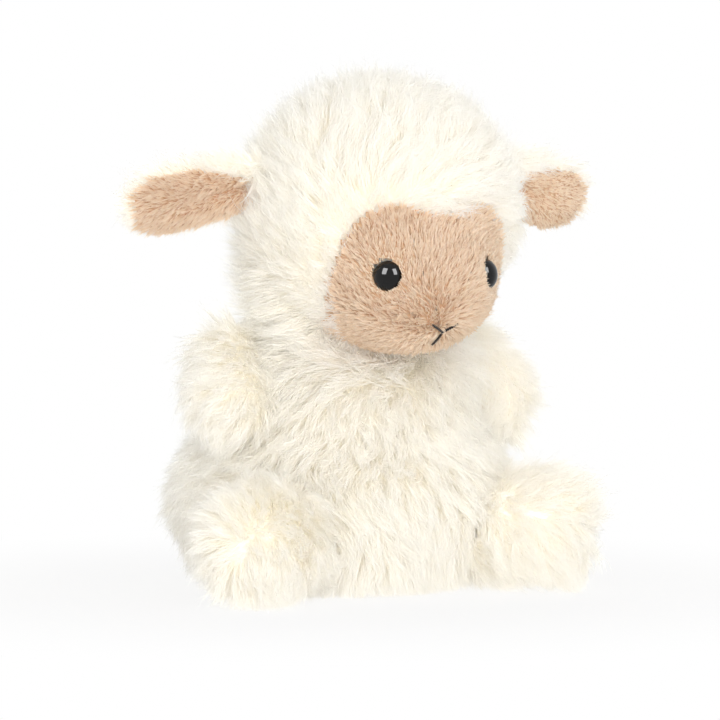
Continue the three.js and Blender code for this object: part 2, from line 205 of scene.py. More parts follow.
def knitted_backing(name, light, dark):
    """Polyester tricot: rows of fine loops about 1 mm apart, as a wave of the surface's colour and
    height."""
    material = new_material(name)
    place = add_node(material, "ShaderNodeTexCoord")
    slanted = {"bands_direction": "DIAGONAL"}
    where = place.outputs["Object"]
    loops = add_node(material, "ShaderNodeTexWave", slanted, Vector=where, Scale=LOOP_BANDS)
    colour = ramp(material, loops.outputs["Color"], [(0.0, dark), (1.0, light)])
    height = loops.outputs["Fac"]
    bump = add_node(material, "ShaderNodeBump", Height=height, Distance=LOOP_RELIEF * MM, Strength=0.6)
    cloth = add_node(
        material,
        "ShaderNodeBsdfPrincipled",
        Base_Color=colour,
        Roughness=0.9,
        Sheen_Weight=0.3,
        Normal=bump.outputs["Normal"],
    )
    return finish_material(material, cloth)


def speckled(name, light, dark, roughness, grain_mm, relief_mm, specular=0.5):
    """A surface mottled by a noise whose grains are grain_mm across and relief_mm high."""
    material = new_material(name)
    place = add_node(material, "ShaderNodeTexCoord")
    grain = add_node(
        material, "ShaderNodeTexNoise", Vector=place.outputs["Object"], Scale=1 / (grain_mm * MM), Detail=4.0
    )
    colour = ramp(material, grain.outputs["Fac"], [(0.35, dark), (0.65, light)])
    bump = add_node(material, "ShaderNodeBump", Height=grain.outputs["Fac"], Distance=relief_mm * MM)
    body = add_node(
        material,
        "ShaderNodeBsdfPrincipled",
        Base_Color=colour,
        Roughness=roughness,
        Specular_IOR_Level=specular,
        Normal=bump.outputs["Normal"],
    )
    return finish_material(material, body)


CREAM_BACKING = knitted_backing("cream_tricot_backing", "#FEFCF8", "#FCF9F2")
TAN_BACKING = knitted_backing("tan_tricot_backing", "#DDBA98", "#CDA681")
# Loose fibre scatters all light: soft white, without any shine
FILLING = speckled("polyester_filling", "#FBFAF6", "#E9E6DE", 1.0, 3.0, 0.8)
# Undyed cotton is matt and a little uneven
POUCH_COTTON = speckled("pellet_pouch_cotton", "#EDEAE2", "#D8D3C6", 0.95, 1.2, 0.3)
# Polypropylene from a mould is smooth and waxy, with a broad gleam
WASHER_PLASTIC = speckled("moulded_white_polypropylene", "#F4F4F1", "#ECECE8", 0.4, 2.0, 0.02)
# Spun thread is matt, and its fuzz greys the black
THREAD = speckled("black_embroidery_thread", "#2E2A28", "#171413", 0.75, 0.4, 0.05)
# Polished acrylic is nearly black, and shows each lamp as a sharp window
EYE_PLASTIC = speckled("polished_black_acrylic", "#0B0A0A", "#070606", 0.03, 4.0, 0.0, specular=0.28)

print(len(bpy.data.materials), "materials")

# %% [markdown]
# The stage is plain: a pale floor and a pale surround. White fur needs light from all round, or the dark
# between its fibres takes over, so most of the light is the surround's own, and wide softboxes in front
# and behind add the rest. The white that the camera sees behind the toy is for the camera and for
# reflections only, so it adds no light. A real softbox is far brighter than the surround, and shows as a
# window in the polished eyes. A lamp that only reflections see stands in for that.

# %% Stage and lights
LAMP_DISTANCE = 1300.0
FLOOR_HALF = 6000.0
SHADOW_NEAR = 50.0  # from this distance of the toy's middle the paper's shadow fades
SHADOW_FAR = 190.0  # beyond this the camera sees only white
PAPER_WHITE = 0.86  # how far plain white takes the paper's place near the toy, for the camera


def share_seen(material, white_share=1.0):
    """How much of plain white the camera, mirrors and glass see here, from none, 0, to all, 1."""
    path = add_node(material, "ShaderNodeLightPath")
    seen = path.outputs["Is Camera Ray"]
    for ray in ("Is Glossy Ray", "Is Transmission Ray"):
        more = add_node(material, "ShaderNodeMath", {"operation": "MAXIMUM"}, _0=seen, _1=path.outputs[ray])
        seen = more.outputs[0]
    return add_node(material, "ShaderNodeMath", {"operation": "MULTIPLY"}, _0=seen, _1=white_share).outputs[0]


def make_world(strength):
    world = bpy.data.worlds.new("studio")
    world.use_nodes = True
    world.node_tree.nodes.clear()
    bpy.context.scene.world = world
    ambient = add_node(world, "ShaderNodeBackground", Color=linear("#FFFFFF"), Strength=strength)
    white = add_node(world, "ShaderNodeBackground", Color=linear("#FFFFFF"), Strength=1.0)
    share = share_seen(world)
    mixed = add_node(world, "ShaderNodeMixShader", _0=share, _1=ambient.outputs[0], _2=white.outputs[0])
    add_node(world, "ShaderNodeOutputWorld", Surface=mixed.outputs[0])


def softbox(name, azimuth, elevation, width, height, watts, glint=False):
    """A rectangular lamp that looks at the toy from an azimuth and an elevation in degrees."""
    lamp = bpy.data.lights.new(name, "AREA")
    lamp.shape = "RECTANGLE"
    lamp.size = width * MM
    lamp.size_y = height * MM
    lamp.energy = watts
    holder = bpy.data.objects.new(name, lamp)
    back = way_back(math.radians(azimuth), math.radians(elevation))
    holder.location = Vector((TOY_MIDDLE + LAMP_DISTANCE * back) * MM)
    holder.rotation_euler = Vector(back).to_track_quat("Z", "Y").to_euler()
    holder.visible_diffuse = not glint
    holder.visible_transmission = not glint
    holder.visible_glossy = glint
    bpy.context.scene.collection.objects.link(holder)


def make_floor():
    """White paper whose shadow fades out with distance, so that no far edge shows."""
    material = new_material("white_paper_floor")
    place = add_node(material, "ShaderNodeTexCoord")
    away = add_node(material, "ShaderNodeVectorMath", {"operation": "LENGTH"}, _0=place.outputs["Object"])
    far = add_node(
        material,
        "ShaderNodeMapRange",
        {"interpolation_type": "SMOOTHSTEP"},
        Value=away.outputs["Value"],
        From_Min=SHADOW_NEAR * MM,
        From_Max=SHADOW_FAR * MM,
        To_Min=PAPER_WHITE,
    )
    paper = add_node(material, "ShaderNodeBsdfDiffuse", Color=linear("#FCFBFA"))
    white = add_node(material, "ShaderNodeEmission", Color=linear("#FFFFFF"), Strength=1.0)
    share = share_seen(material, far.outputs["Result"])
    mixed = add_node(material, "ShaderNodeMixShader", _0=share, _1=paper.outputs[0], _2=white.outputs[0])
    finish_material(material, mixed)
    corners = FLOOR_HALF * np.array([(-1, -1, 0), (1, -1, 0), (1, 1, 0), (-1, 1, 0)])
    mesh = bpy.data.meshes.new("floor")
    mesh.from_pydata((corners * MM).tolist(), [], [(0, 1, 2, 3)])
    mesh.materials.append(material)
    floor = bpy.data.objects.new("floor", mesh)
    bpy.context.scene.collection.objects.link(floor)


bpy.context.scene.view_settings.view_transform = "Standard"
bpy.context.scene.cycles.max_bounces = 40
bpy.context.scene.cycles.diffuse_bounces = 32
bpy.context.scene.cycles.transmission_bounces = 32
make_world(0.42)
softbox("top_softbox", azimuth=-50, elevation=48, width=900, height=900, watts=0.2)
softbox("front_softbox", azimuth=-16, elevation=6, width=900, height=900, watts=9.0)
softbox("low_softbox", azimuth=-24, elevation=2, width=1100, height=240, watts=5)
softbox("back_softbox", azimuth=150, elevation=14, width=900, height=900, watts=5)
softbox("left_glint", azimuth=-66, elevation=35, width=600, height=850, watts=30, glint=True)
softbox("right_glint", azimuth=11, elevation=33, width=600, height=850, watts=30, glint=True)
make_floor()

# %% [markdown]
# Every soft part is a smooth form with a formula. The head and the body are two stuffed lobes each, which
# swell into each other, and a limb, an ear or the tail is a round profile carried along an axis. A form
# is kept here as one function of two numbers, a round it and b from its start to its end, and of how far
# its wall is moved in.

# %% Small sums with vectors
def unit(vectors):
    return vectors / np.maximum(np.linalg.norm(vectors, axis=-1, keepdims=True), 1e-9)


def dot(p, q):
    return (p * q).sum(-1)


def turned(vectors, axes, angles):
    """Vectors turned about unit axes that they are square to: v cos t + (axis x v) sin t."""
    return vectors * np.cos(angles)[..., None] + np.cross(axes, vectors) * np.sin(angles)[..., None]


def ease(values, low, high):
    """0 below low, 1 above high, and 3t² - 2t³ between."""
    t = np.clip((values - low) / (high - low), 0, 1)
    return t * t * (3 - 2 * t)


def mirrored(point, side):
    return np.array([side * point[0], point[1], point[2]])


# %% Forms
LOBE_SHARPNESS = 9
LIMB_ROUNDNESS = 2.6


class Stuffed:
    """A form of stuffed lobes, each an ellipsoid with a centre, from the form's own, and three half
    axes."""

    def __init__(self, centre, lobes):
        self.centre = np.array(centre, float)
        self.lobes = [(np.array(at, float), np.array(semi, float)) for at, semi in lobes]

    def wall(self, ways):
        """How far the wall is along unit vectors: (Σ reach^9)^(1/9) over the lobes, where a reach is the
        distance to an ellipsoid's far side, or 0 where it is missed."""
        total = 0.0
        for at, semi in self.lobes:
            w, c = ways / semi, at / semi
            a, b = dot(w, w), dot(w, c)
            hit = b * b - a * (dot(c, c) - 1)
            far = np.where(hit < 0, 0, np.maximum(0, (b + np.sqrt(np.maximum(hit, 0))) / a))
            total = total + far**LOBE_SHARPNESS
        return total ** (1 / LOBE_SHARPNESS)

    def place(self, a, b, inset=0.0):
        """The point along w = (sin πb cos 2πa, sin πb sin 2πa, cos πb), as far as the wall less the
        inset."""
        ring = np.sin(math.pi * b)
        turn = 2 * math.pi * a
        ways = np.stack([ring * np.cos(turn), ring * np.sin(turn), np.cos(math.pi * b)], -1)
        return self.centre + ways * (self.wall(ways) - inset)[..., None]

    def outside(self, points):
        """How far points are outside the wall, along the way from the centre."""
        away = points - self.centre
        return np.linalg.norm(away, axis=-1) - self.wall(unit(away))


class Limb:
    """A round-ended form along an axis, such as an arm. Share is its depth, towards facing, over its
    width."""

    def __init__(self, start, end, radii, facing=(0, -1, 0), share=1.0):
        self.start, self.end = np.array(start, float), np.array(end, float)
        self.length = np.linalg.norm(self.end - self.start)
        self.axis = (self.end - self.start) / self.length
        self.across = unit(np.cross(np.array(facing, float), self.axis))
        self.across *= np.sign(self.across[2]) or 1.0
        self.depth = unit(np.array(facing, float) - dot(np.array(facing, float), self.axis) * self.axis)
        self.radii = radii
        self.share = share

    def radius(self, t):
        return self.radii[0] + (self.radii[1] - self.radii[0]) * t

    def place(self, a, b, inset=0.0):
        """At t = (1 - cos πb)/2 of its length the radius is between its two radii, less the inset, times
        (1 - |2t - 1|^2.6)^(1/2.6)."""
        t = (1 - np.cos(math.pi * b)) / 2
        swell = np.maximum(0, 1 - np.abs(2 * t - 1) ** LIMB_ROUNDNESS) ** (1 / LIMB_ROUNDNESS)
        along = inset + t * (self.length - 2 * inset)
        wide = (self.radius(t) - inset) * swell * np.cos(2 * math.pi * a)
        deep = (self.radius(t) * self.share - inset) * swell * np.sin(2 * math.pi * a)
        middle = self.start + along[..., None] * self.axis
        return middle + wide[..., None] * self.across + deep[..., None] * self.depth

    def along(self, points):
        """How far points are along the axis, from 0 at the start to 1 at the end."""
        return dot(points - self.start, self.axis) / self.length

    def aside(self, points):
        """How far points are to the upper side of the axis, where 1 is the form's half width."""
        return dot(points - self.start, self.across) / self.radius(self.along(points))


# %% The toy's forms
HEAD = Stuffed((0, -24, 107.5), [((0, 0, 2), (42, 40, 40.5)), ((0, -19, -18), (25, 26.5, 20.5))])
BODY = Stuffed((0, 0, 38), [((0, 2, -12), (51, 49, 32)), ((0, -5, 10), (38, 35, 36))])
JOINTS = {joint["name"]: np.array(joint["pos_m"]) / MM for joint in frame["joints"]}
NECK = JOINTS["neck_turn"]
SIDES = ((1, "left"), (-1, "right"))
ARM_TIP = (47.5, -23, 47)
ARM_RADII = (15, 16)
ARM_RUN_IN = 8
LEG_TIP = (60, -49, 18.5)
LEG_RADII = (17, 21)
LEG_RUN_IN = 10


def seamed_limb(joint, tip, radii, run_in):
    """A limb whose form starts run_in mm inside the seam that it moves about."""
    start = JOINTS[joint] - run_in * unit(np.array(tip) - JOINTS[joint])
    return Limb(start, tip, radii)


# %% [markdown]
# The tan face is a patch of the same head. Its edge is drawn from the front, as in the pattern that the
# panel was cut from, and a point belongs to the face when it lies nearer to the face's middle than the
# edge does that way. Panels are told apart on the outside of the pile, where the drawn edges are true,
# also for the cloth that lies deeper.

# %% The edges of the face's panels
FACE_MIDDLE = -16.0  # heights here are from the head's centre
FACE_SIDE = [(8, 4), (15, 5.8), (21.5, 3), (26.5, -3.5), (28.3, -12), (28, -19), (24, -28), (19, -37)]
FACE_LOOP = [(0, 2), *FACE_SIDE, (0, -44), *[(-x, z) for x, z in reversed(FACE_SIDE)]]
BRIDGE_SIDE = np.array([(0, -33), (1.5, -31), (4.5, -24), (8.5, -14), (12, 12)], float)
BEHIND_FACE = 99.0


def smooth_loop(corners, steps=12):
    """A closed Catmull-Rom curve: between corners p1 and p2 it is the cubic through both whose slopes
    there are (p2 - p0)/2 and (p3 - p1)/2."""
    p = np.array(corners, float)
    p0, p1, p2, p3 = np.roll(p, 1, 0), p, np.roll(p, -1, 0), np.roll(p, -2, 0)
    t = np.arange(steps)[:, None, None] / steps
    square = p0 - 2.5 * p1 + 2 * p2 - p3 / 2
    cube = 1.5 * (p1 - p2) + (p3 - p0) / 2
    curve = p1 + t * (p2 - p0) / 2 + t**2 * square + t**3 * cube
    return curve.transpose(1, 0, 2).reshape(-1, 2)


FACE_CURVE = smooth_loop(FACE_LOOP)
EDGE_ANGLES = np.arctan2(FACE_CURVE[:, 1] - FACE_MIDDLE, FACE_CURVE[:, 0])
EDGE_REACHES = np.hypot(FACE_CURVE[:, 0], FACE_CURVE[:, 1] - FACE_MIDDLE)


# At the jaw the tan pile is brushed outwards over the edge. So the cloth's own edge is this much further
# in, in mm, at these depths below the head's centre, or further out where it is a minus.
LEAN_DEPTHS = (0, 12, 20, 25, 28, 31, 34)
LEAN_OVER = (0, 0.2, -0.5, -0.6, -0.4, 0.6, 2.0)


def past_face_edge(points):
    """How far points lie outside the face's edge as seen from the front: below 0 on the face, and large
    behind it."""
    x = points[..., 0]
    z = points[..., 2] - HEAD.centre[2] - FACE_MIDDLE
    away = np.hypot(x, z) - np.interp(np.arctan2(z, x), EDGE_ANGLES, EDGE_REACHES, period=2 * math.pi)
    away = away + np.interp(HEAD.centre[2] - points[..., 2], LEAN_DEPTHS, LEAN_OVER)
    return np.where(points[..., 1] < HEAD.centre[1], away, BEHIND_FACE)


def past_bridge_edge(points):
    """How far points lie to the side of the bridge panel, which widens from the nose up to the brow."""
    height = points[..., 2] - HEAD.centre[2]
    return np.abs(points[..., 0]) - np.interp(height, BRIDGE_SIDE[:, 1], BRIDGE_SIDE[:, 0])


# %% [markdown]
# The backing cloth of a panel is a patch of its form. The form's grid is laid out whole, the cells
# outside the panel are left out, and Solidify gives the patch the thickness of knitted cloth. Which cells
# and which roots belong to a panel is asked with small yes-or-no functions of a point, and these can be
# joined.

# %% Cloth panels
CLOTH_THICKNESS = 0.8
FLOOR_GAP = 0.2


def both(*tests):
    """A test that a point passes when it passes all of these."""
    return lambda p: np.logical_and.reduce([test(p) for test in tests])


def on_side(axis, sign, edge=0.0):
    """A test for the points beyond edge along an axis: 0 is x, 1 is y, 2 is z."""
    return lambda p: sign * (p[..., axis] - edge) > 0


def mesh_object(name, points, faces, material, body):
    """A mesh from points in millimetres and rows of corner numbers, with doubled points, such as a
    pole's, joined."""
    keys, where = np.unique(np.round(points, 4), axis=0, return_inverse=True)
    rows = [list(dict.fromkeys(row)) for row in where.reshape(-1)[faces].tolist()]
    mesh = bpy.data.meshes.new(name)
    mesh.from_pydata((keys * MM).tolist(), [], [row for row in rows if len(row) > 2])
    mesh.validate()
    mesh.materials.append(material)
    mesh.shade_smooth()
    piece = bpy.data.objects.new(name, mesh)
    bpy.context.scene.collection.objects.link(piece)
    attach(piece, body)
    return piece


def grid_faces(rows, columns):
    """The four corner numbers of each cell of a grid of rows by columns of points, facing out of a
    form."""
    corner = np.arange(rows * columns).reshape(rows, columns)
    cells = np.stack([corner[:-1, :-1], corner[1:, :-1], corner[1:, 1:], corner[:-1, 1:]], -1)
    return cells.reshape(-1, 4)


def inset_place(form, inset):
    """A form's place() with its wall moved in by inset, a number or a function of the points of the outer
    wall."""
    if callable(inset):
        return lambda a, b: form.place(a, b, inset(form.place(a, b)))
    return lambda a, b: form.place(a, b, inset)


def cloth_panel(name, form, inset, keep, material, body, node, cells=(96, 54)):
    """The cells of a form whose middles keep() wants, with the thickness of cloth."""
    rounds, ends = cells
    b, a = np.meshgrid(np.linspace(0, 1, ends + 1), np.linspace(0, 1, rounds + 1), indexing="ij")
    faces = grid_faces(ends + 1, rounds + 1)
    outside = form.place(a, b).reshape(-1, 3)
    points = inset_place(form, inset)(a, b).reshape(-1, 3)
    wanted = faces[keep(outside[faces].mean(1))]
    points[:, 2] = np.maximum(points[:, 2], FLOOR_GAP + CLOTH_THICKNESS)
    piece = mesh_object(name, points, wanted, material, body)
    thick = piece.modifiers.new("cloth", "SOLIDIFY")
    thick.thickness = CLOTH_THICKNESS * MM
    thick.offset = -1.0
    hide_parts(node)
    print(name, len(wanted), "cells")


# %% [markdown]
# Pile grows from the cloth in locks. Roots are strewn evenly over the panel, each root joins the nearest
# lock, and a lock's fibres lean together: they rise from the cloth, bend over the way the cloth is
# brushed, curl to one side and close up towards the lock's tip. A few strays leave their lock. A fibre is
# a closed three-sided spike, because two hundred thousand of them must stay light.

# %% What a pile is like
@dataclass(frozen=True)
class Pile:
    material: bpy.types.Material
    density: float  # fibres to a square millimetre
    length: float  # mm, from root to tip
    width: float  # mm, at the widest
    lock: float  # mm across a lock
    rise: float  # degrees from the cloth to a fibre's first third
    fall: float  # degrees from the cloth to its tip
    curl: float  # degrees that a lock turns aside from root to tip
    swirl: float  # degrees that neighbouring locks wander together
    swirl_size: float  # mm over which they do
    unruly: float  # degrees that each lock wanders by itself
    close: float  # how far a lock's fibres close up at its tip, from 0 to 1
    loose: float  # mm that a tip strays within its lock
    stray_reach: float  # mm that a stray's tip leaves its lock


STRAY_SHARE = 0.05
STRAY = {"length": 1.1, "close": 0.25, "width": 0.8}  # times a full fibre's
UNDER_SHARE = 0.6  # short thick fibres that fill the lock's foot
UNDER = {"length": 0.8, "close": 0.4, "width": 1.5}
LOCK_LENGTHS = (0.87, 1.1)  # times the pile's, from lock to lock
FIBRE_LENGTHS = (0.8, 1.05)  # times its lock's
FIBRE_WIDTHS = (0.75, 1.25)
RISE_SPREAD = 9  # degrees from lock to lock
CURL_SPREAD = 0.7  # of the pile's curl
FLEECE = Pile(
    material=LONG_PILE,
    density=4.6,
    length=12.5,
    width=0.25,
    lock=2.8,
    rise=66,
    fall=8,
    curl=50,
    swirl=22,
    swirl_size=15,
    unruly=8,
    close=0.28,
    loose=1.2,
    stray_reach=2.0,
)
LIMB_FLEECE = replace(FLEECE, length=11.5)
ARM_FLEECE = replace(LIMB_FLEECE, rise=56)
SHORT = Pile(
    material=SHORT_PILE,
    density=4.8,
    length=3.6,
    width=0.28,
    lock=1.1,
    rise=48,
    fall=12,
    curl=20,
    swirl=9,
    swirl_size=9,
    unruly=10,
    close=0.35,
    loose=0.35,
    stray_reach=0.6,
)
EAR_FLEECE = replace(FLEECE, length=9)
FLEECE_INSET = 6.0
FACE_INSET = 5.4
EAR_INSET = 1.3


# %% Roots and locks
def scatter(form, inset, density, keep, rng):
    """Random roots, density to a square millimetre. Pairs (a, b) are drawn evenly, and each is kept with
    a chance in proportion to the area |∂p/∂a × ∂p/∂b| that it stands for."""
    step = 1e-3
    place = inset_place(form, inset)

    def lie(a, b):
        p = place(a, b)
        return p, np.cross(place(a, b + step) - p, place(a + step, b) - p) / step**2

    # The largest area on a coarse grid, and a little more
    grid = np.meshgrid(np.linspace(0, 1, 60, endpoint=False), np.linspace(0.01, 0.99, 60))
    most = np.linalg.norm(lie(*grid)[1], axis=-1).max() * 1.05
    a, b = rng.random((2, int(density * most)))
    b = 0.001 + 0.997 * b  # clear of both poles
    outside = form.place(a, b)
    points, area = lie(a, b)
    kept = (rng.random(len(a)) < np.linalg.norm(area, axis=-1) / most) & keep(outside)
    out = unit(area)
    out *= np.sign(dot(out, outside - points))[:, None]
    return points[kept], out[kept]


def mean_by(groups, values, count):
    """The mean of the rows of values in each group."""
    sizes = np.maximum(np.bincount(groups, minlength=count), 1)
    sums = [np.bincount(groups, column, count) for column in values.T]
    return np.stack(sums, -1) / sizes[:, None]


def gather_locks(roots, size, density, rng):
    """Shares roots out among locks about size mm across: the locks start at a random few of the roots,
    and four times each moves to the middle of the roots that are nearest to it."""
    count = max(1, int(len(roots) / (density * size * size)))
    middles = roots[rng.choice(len(roots), count, replace=False)]
    nearest = np.empty(len(roots), int)
    for _ in range(4):
        for start in range(0, len(roots), 4000):
            part = roots[start : start + 4000].astype(np.float32)
            gaps = (middles**2).sum(1).astype(np.float32) - 2 * part @ middles.T.astype(np.float32)
            nearest[start : start + 4000] = gaps.argmin(1)
        middles = mean_by(nearest, roots, count)
    return nearest, middles


def drift(points, size, seed):
    """Smooth random vectors, about 1 long, that change over about size mm: a mix of six sine waves."""
    rng = np.random.default_rng(seed)
    waves = rng.normal(size=(3, 6)) * 2.4 / size
    mix = rng.normal(size=(6, 3)) / math.sqrt(3)
    return np.sin(points @ waves + rng.uniform(0, 2 * math.pi, 6)) @ mix * 0.8


# %% Combing the fibres of each lock
RINGS = np.array([0.0, 1 / 3, 2 / 3, 1.0])


def lock_lines(middles, lock_out, flow, pile, rng):
    """Each lock's centre line, (n, 4, 3), for a length of 1. Its three steps climb at an angle that goes
    from rise to fall as s^0.8 along it, and turn aside by its curl. Where the flow is shorter than 1, as in
    the middle of a whorl, the lock stands up by as much."""
    count = len(middles)
    lean = flow(middles)
    lean = lean - dot(lean, lock_out)[:, None] * lock_out
    laid = np.minimum(np.linalg.norm(lean, axis=-1), 1)
    wander = drift(middles, pile.swirl_size, 7)
    swing = wander[:, 0] * pile.swirl + rng.normal(0, pile.unruly, count)
    lean = turned(unit(lean), lock_out, np.radians(swing))
    curl = np.radians((rng.normal(0, CURL_SPREAD, count) + wander[:, 1]) * pile.curl)
    rise = pile.rise + rng.normal(0, RISE_SPREAD, count)
    line = np.zeros((count, 4, 3))
    for k in range(3):
        s = (k + 0.5) / 3
        angle = np.radians(90 - laid * (90 - rise - (pile.fall - rise) * s**0.8))
        step = turned(lean, lock_out, curl * s) * np.cos(angle)[:, None] + lock_out * np.sin(angle)[:, None]
        line[:, k + 1] = line[:, k] + step / 3
    return line


def comb(roots, out, flow, pile, trim, rng):
    """The centre lines of fibres, (n, 4, 3), at s = 0, 1/3, 2/3 and 1 of their length, their widths, and
    which of them are under-fibres. A fibre closes up on its lock's middle as s^1.3 and strays as s^1.6."""
    lock, middles = gather_locks(roots, pile.lock, pile.density, rng)
    count = len(middles)
    line = lock_lines(middles, unit(mean_by(lock, out, count)), flow, pile, rng)
    n = len(roots)
    under = rng.random(n) < UNDER_SHARE
    stray = (rng.random(n) < STRAY_SHARE) & ~under

    def by_kind(what):
        return np.where(under, UNDER[what], np.where(stray, STRAY[what], 1.0))

    length = pile.length * rng.uniform(*LOCK_LENGTHS, count)[lock] * rng.uniform(*FIBRE_LENGTHS, n) * trim
    length *= by_kind("length")
    close = pile.close * by_kind("close")
    pull = (middles[lock] - roots)[:, None, :] * (close[:, None] * RINGS**1.3)[..., None]
    loose = rng.normal(size=(n, 3)) * (np.where(stray, pile.stray_reach, pile.loose) * trim)[:, None]
    paths = roots[:, None, :] + length[:, None, None] * line[lock] + pull
    paths = paths + loose[:, None, :] * (RINGS**1.6)[:, None]
    width = pile.width * rng.uniform(*FIBRE_WIDTHS, n) * by_kind("width")
    return paths, width, under


# %% Fibres as a mesh
def spike_faces(rings):
    """The triangles of a spike with rings of three points: two for each side of each band, a tip and a
    root cap."""
    faces = []
    for k in range(rings - 1):
        for j in range(3):
            low, next_low = 3 * k + j, 3 * k + (j + 1) % 3
            faces += [(low, next_low, next_low + 3), (low, next_low + 3, low + 3)]
    top = 3 * (rings - 1)
    return faces + [(top + j, top + (j + 1) % 3, top + 3) for j in range(3)] + [(2, 1, 0)]


def spikes(paths, width, places, rng):
    """The points, triangles and map places of spikes. A spike has a ring of three points at each point of
    its path but the last, three quarters as wide at the root and past the middle, and comes to a point at
    the last."""
    n, rings = len(paths), paths.shape[1] - 1
    tangents = unit(np.gradient(paths, axis=1))[:, :-1]
    side = unit(np.cross(tangents, unit(rng.normal(size=(n, 1, 3)))))
    up = np.cross(tangents, side)
    turn = 2 * math.pi * np.arange(3)[:, None] / 3
    ring = side[:, :, None] * np.cos(turn) + up[:, :, None] * np.sin(turn)
    taper = np.interp(places[:-1], [0, 1 / 3, 2 / 3], [0.75, 1.0, 0.75])
    points = paths[:, :-1, None] + (width[:, None] / 2 * taper)[..., None, None] * ring
    points = np.concatenate([points.reshape(n, 3 * rings, 3), paths[:, -1:]], 1)
    size = 3 * rings + 1
    faces = (np.array(spike_faces(rings)) + size * np.arange(n)[:, None, None]).reshape(-1, 3)
    u = (rng.integers(0, DYE_COLUMNS, (n, 1)) + np.array([0.25, 0.5, 0.75] * rings + [0.5])) / DYE_COLUMNS
    v = np.broadcast_to(np.append(np.repeat(places[:-1], 3), 1.0), u.shape)
    return points.reshape(-1, 3), faces, np.stack([u, v], -1).reshape(-1, 2)


def lay_on_floor(points):
    """Points below the floor come up to lie on it, the deeper ones a little higher so that they don't all
    meet."""
    low = points[:, 2] < FLOOR_GAP
    points[low, 2] = FLOOR_GAP * (2 - np.exp(points[low, 2] - FLOOR_GAP))
    return points


def fibre_piece(name, sets, material, body):
    """One piece from sets of points, triangles and map places."""
    starts = np.cumsum([0] + [len(points) for points, _, _ in sets[:-1]])
    points = lay_on_floor(np.concatenate([points for points, _, _ in sets]))
    corners = np.concatenate([(faces + start).ravel() for (_, faces, _), start in zip(sets, starts)])
    places = np.concatenate([uv for _, _, uv in sets])
    mesh = bpy.data.meshes.new(name)
    mesh.vertices.add(len(points))
    mesh.vertices.foreach_set("co", (points * MM).astype(np.float32).ravel())
    mesh.loops.add(len(corners))
    mesh.loops.foreach_set("vertex_index", corners.astype(np.int32))
    mesh.polygons.add(len(corners) // 3)
    mesh.polygons.foreach_set("loop_start", np.arange(0, len(corners), 3, dtype=np.int32))
    mesh.uv_layers.new(name=PILE_MAP).uv.foreach_set("vector", places[corners].astype(np.float32).ravel())
    mesh.update(calc_edges=True)
    mesh.shade_flat()
    mesh.materials.append(material)
    piece = bpy.data.objects.new(name, mesh)
    bpy.context.scene.collection.objects.link(piece)
    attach(piece, body)
    return len(corners) // 3


fibre_triangles = []
LONG_FROM = 5.0  # mm, from which a full fibre has all its rings


def grow(name, form, inset, keep, flow, pile, body, seed, trim=None):
    """Pile on a panel of a form, as a piece that rides on a body. Trim says how much of a fibre's length
    is left at its root, and none grows where that is 0."""
    rng = np.random.default_rng(seed)
    roots, out = scatter(form, inset, pile.density, keep, rng)
    left = trim(roots) if trim else np.ones(len(roots))
    roots, out, left = roots[left > 0], out[left > 0], left[left > 0]
    paths, width, under = comb(roots, out, flow, pile, left, rng)
    long_bends, under_bends = ([0, 1, 2, 3], [0, 3]) if pile.length > LONG_FROM else ([0, 2, 3], [0, 2, 3])
    sets = [
        spikes(paths[~under][:, long_bends], width[~under], RINGS[long_bends], rng),
        spikes(paths[under][:, under_bends], width[under], RINGS[under_bends], rng),
    ]
    fibre_triangles.append(fibre_piece(name, sets, pile.material, body))
    print(name, len(paths), "fibres", fibre_triangles[-1], "triangles,", sum(fibre_triangles), "so far")


# %% [markdown]
# Safety eyes. A real one is a polished acrylic dome on a shank that goes through the cloth and is held by
# a washer behind. The CAD dome has few faces, so a finer one takes its place: a profile turned about the
# eye's axis. The pile is shaved where the eye sits, and trimmed short round it.

# %% Where the face is, and its eyes
FACE_SET_BACK = 3.5
EYE_AZIMUTH = math.radians(27)
EYE_HEIGHT = -13.0
EYE_SUNK = 2.8
EYE_RADIUS = 4.35
DOME_HEIGHT = 3.4
EYE_RIM = 0.4  # radius of the dome's rounded edge
EYE_DEEP = 12.0  # further in than this, the eye bothers nothing
FAR_OFF = 99.0


def on_face(azimuth, height, inset=FACE_SET_BACK):
    """Points of the face's surface towards azimuths from straight ahead, at heights from the head's
    centre: a level way out is stepped along until it meets the form."""
    azimuth, height = np.broadcast_arrays(np.asarray(azimuth, float), np.asarray(height, float))
    way = np.stack([np.sin(azimuth), -np.cos(azimuth), np.zeros_like(azimuth)], -1)
    rise = height[..., None] * np.array([0.0, 0.0, 1.0])
    distance = np.full(azimuth.shape + (1,), 30.0)
    for _ in range(12):
        ray = way * distance + rise
        reach = np.linalg.norm(ray, axis=-1, keepdims=True)
        distance = distance * (HEAD.wall(unit(ray)) - inset)[..., None] / reach
    return HEAD.centre + way * distance + rise


def face_out(azimuth, height):
    """The ways out of the face there, square to two short steps along it."""
    across = on_face(azimuth + 0.05, height) - on_face(azimuth - 0.05, height)
    up = on_face(azimuth, height + 1) - on_face(azimuth, height - 1)
    out = unit(np.cross(across, up))
    return out * np.sign(dot(out, on_face(azimuth, height) - HEAD.centre))[..., None]


EYES = {}
for side, _ in SIDES:
    at = (side * EYE_AZIMUTH, EYE_HEIGHT)
    EYES[side] = (on_face(*at), face_out(*at))


def from_eye(points):
    """How far points are from the nearer eye's axis, and very far from it inside the head."""
    gaps = []
    for middle, out in EYES.values():
        away = points - middle
        height = dot(away, out)
        gap = np.linalg.norm(away - height[..., None] * out, axis=-1)
        gaps.append(gap + FAR_OFF * (height < -EYE_DEEP))
    return np.minimum(*gaps)


